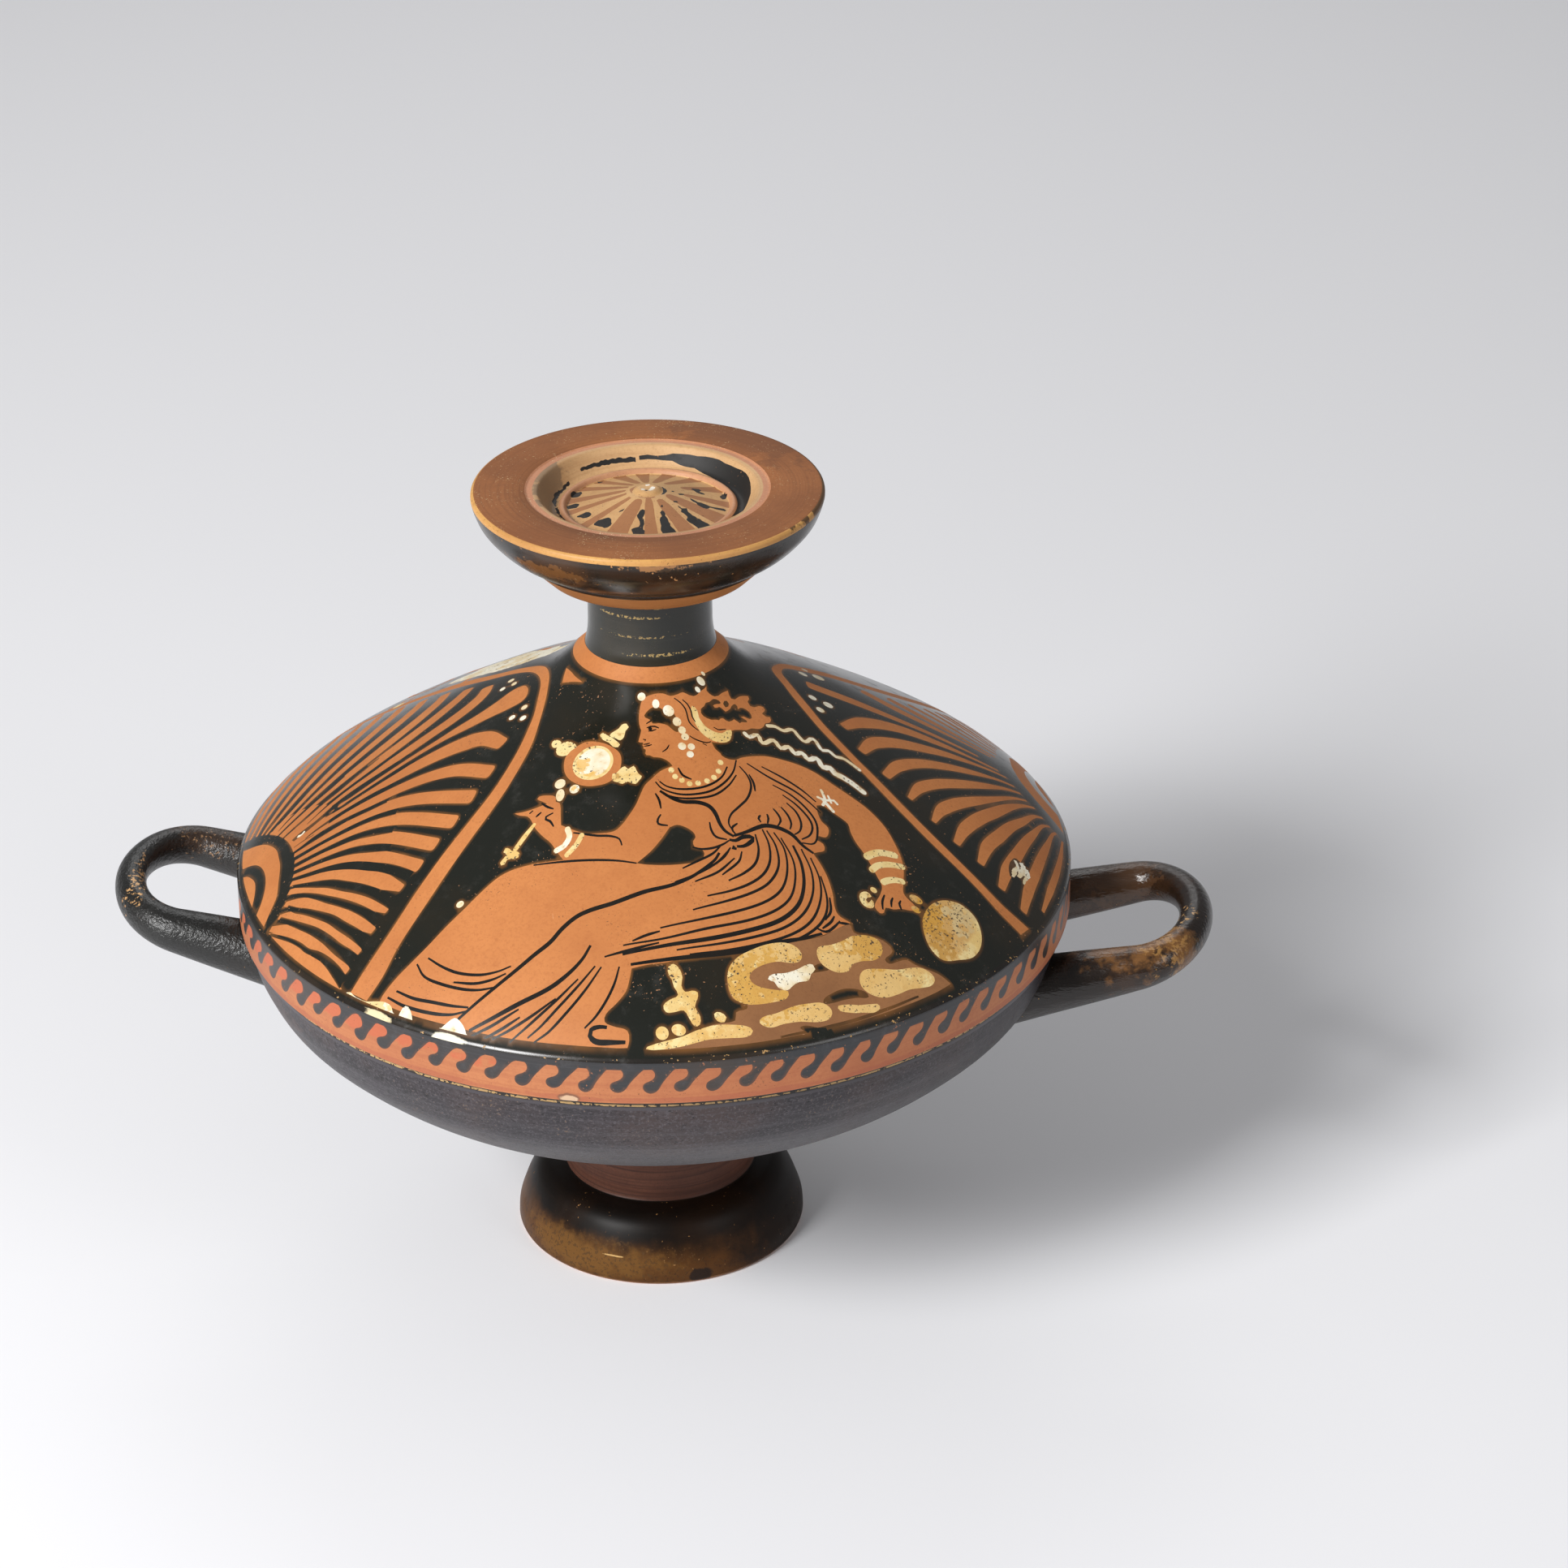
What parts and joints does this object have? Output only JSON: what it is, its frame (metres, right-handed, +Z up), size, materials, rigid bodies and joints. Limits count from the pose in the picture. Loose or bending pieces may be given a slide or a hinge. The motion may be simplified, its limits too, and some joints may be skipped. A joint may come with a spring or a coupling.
{
  "type": "lidded bowl",
  "caption": "Stemmed pottery bowl with loop handles and a lift-off domed lid with a disc knob, painted in the red-figure manner.",
  "frame": {"origin": "centre of the foot's resting face, on the axis that the bowl and lid were turned on", "axes": "+Z up along the turning axis; +X through the two handles, towards the lower one; +Y away from the side with the painted figure"},
  "size_m": [0.2655, 0.2, 0.1968],
  "materials": {
    "dull_black_gloss": "satin",
    "foot_gloss": "satin",
    "black_gloss": "gloss",
    "brown_gloss": "gloss",
    "painted_terracotta": "satin",
    "knob_terracotta": "matte"
  },
  "bodies": {
    "vessel": {"bowl": "dull_black_gloss", "foot": "foot_gloss", "handle_left": "black_gloss", "handle_right": "brown_gloss"},
    "cover": {"lid": "painted_terracotta", "lid_knob": "knob_terracotta"}
  },
  "joints": [
    {"name": "lid_lift", "type": "slide", "parent": "vessel", "child": "cover", "axis": [0, 0, 1], "range_m": [0, 0.07]}
  ]
}
